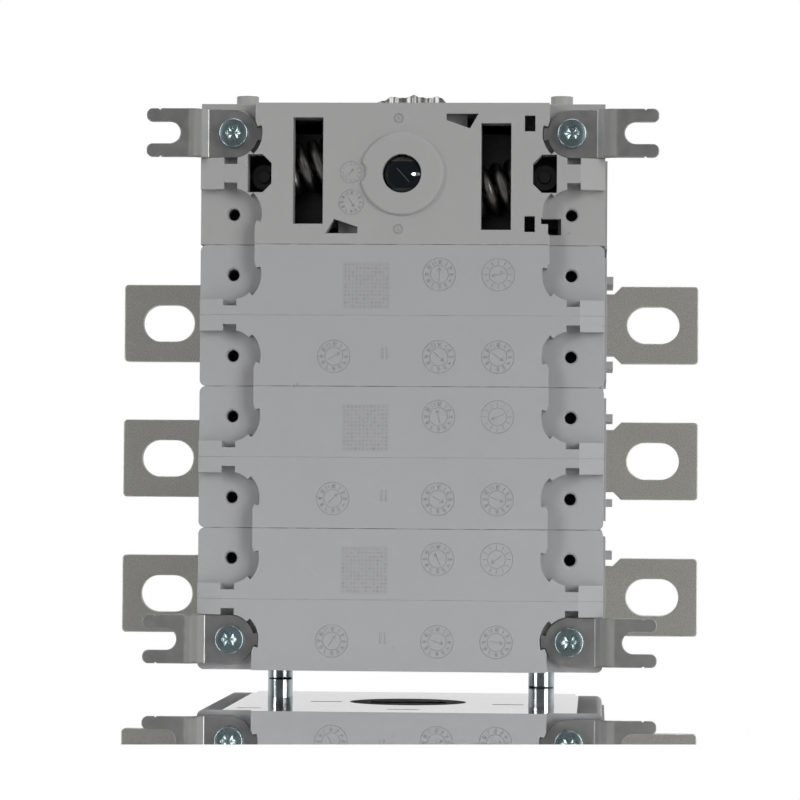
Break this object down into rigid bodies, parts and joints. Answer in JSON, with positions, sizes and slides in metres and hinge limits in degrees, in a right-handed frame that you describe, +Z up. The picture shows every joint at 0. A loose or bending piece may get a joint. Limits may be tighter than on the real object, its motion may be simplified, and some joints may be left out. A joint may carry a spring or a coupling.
{
  "type": "switch disconnector",
  "caption": "Multi-pole switch disconnector: stacked grey housings, slotted side terminals, forked mounting feet and a toggle mechanism that turns a contact rotor.",
  "frame": {"origin": "middle of the mounting plane at the back, half way between the four forked feet", "axes": "+Y from the mounting plane to the front with the handle socket, +Z up from the poles to the mechanism, +X to the right as seen from the back"},
  "size_m": [0.1484, 0.0958, 0.1481],
  "materials": {
    "housing_grey": "fine spark-eroded moulding grain",
    "cover_grey": "fine moulding grain",
    "tinned_copper": "dull tin plate, lightly scratched",
    "foot_steel": "rolled plated sheet",
    "zinc_steel": "blue zinc plate",
    "shaft_steel": "turned and plated",
    "bare_steel": "oiled",
    "black_steel": "black oxide, oiled",
    "spring_steel": "dark oiled wire",
    "copper": "bright",
    "rotor_black": "moulded"
  },
  "bodies": {
    "housing": {"pole_1_upper_shell": "housing_grey", "pole_1_lower_shell": "housing_grey", "terminal_left_1": "tinned_copper", "terminal_right_1": "tinned_copper", "arc_plates_1": "bare_steel", "pole_2_upper_shell": "housing_grey", "pole_2_lower_shell": "housing_grey", "terminal_left_2": "tinned_copper", "terminal_right_2": "tinned_copper", "arc_plates_2": "bare_steel", "pole_3_upper_shell": "housing_grey", "pole_3_lower_shell": "housing_grey", "terminal_left_3": "tinned_copper", "terminal_right_3": "tinned_copper", "arc_plates_3": "bare_steel", "mounting_foot_bottom_left": "foot_steel", "mounting_foot_bottom_right": "foot_steel", "mounting_foot_top_left": "foot_steel", "mounting_foot_top_right": "foot_steel", "foot_screws": "zinc_steel", "mechanism_case": "housing_grey", "mechanism_front_cover": "cover_grey", "cover_screws": "zinc_steel", "top_clip": "bare_steel", "mechanism_frame": "black_steel", "pivot_pins": "black_steel", "tie_rods": "zinc_steel"},
    "shaft": {"drive_shaft": "shaft_steel", "toggle_crank": "black_steel", "ball_disc": "bare_steel"},
    "rotor": {"rotor_head": "rotor_black", "rotor_drum_1": "rotor_black", "contact_bridge_1": "copper", "contact_leaf_springs_1": "spring_steel", "rotor_drum_2": "rotor_black", "contact_bridge_2": "copper", "contact_leaf_springs_2": "spring_steel", "rotor_drum_3": "rotor_black", "contact_bridge_3": "copper", "contact_leaf_springs_3": "spring_steel"},
    "guide_left": {"spring_guide_left": "black_steel", "toggle_spring_left": "spring_steel"},
    "guide_right": {"spring_guide_right": "black_steel", "toggle_spring_right": "spring_steel"}
  },
  "joints": [
    {"name": "shaft_turn", "type": "hinge", "parent": "housing", "child": "shaft", "pos_m": [0, 0, 0.0525], "axis": [0, -1, 0], "range_deg": [0, 90]},
    {"name": "rotor_turn", "type": "hinge", "parent": "housing", "child": "rotor", "pos_m": [0, 0.0468, 0], "axis": [0, 0, 1], "range_deg": [-60, 0]},
    {"name": "left_guide_swing", "type": "hinge", "parent": "housing", "child": "guide_left", "pos_m": [-0.035, 0.0143, 0.0525], "axis": [0, -1, 0], "range_deg": [-26.8, 0]},
    {"name": "right_guide_swing", "type": "hinge", "parent": "housing", "child": "guide_right", "pos_m": [0.035, 0.0143, 0.0525], "axis": [0, -1, 0], "range_deg": [-26.8, 0]}
  ],
  "couplings": [
    {"joint": "rotor_turn", "follows": "shaft_turn", "ratio": -0.6666},
    {"joint": "left_guide_swing", "follows": "shaft_turn", "ratio": -0.2969},
    {"joint": "right_guide_swing", "follows": "shaft_turn", "ratio": -0.2969}
  ]
}
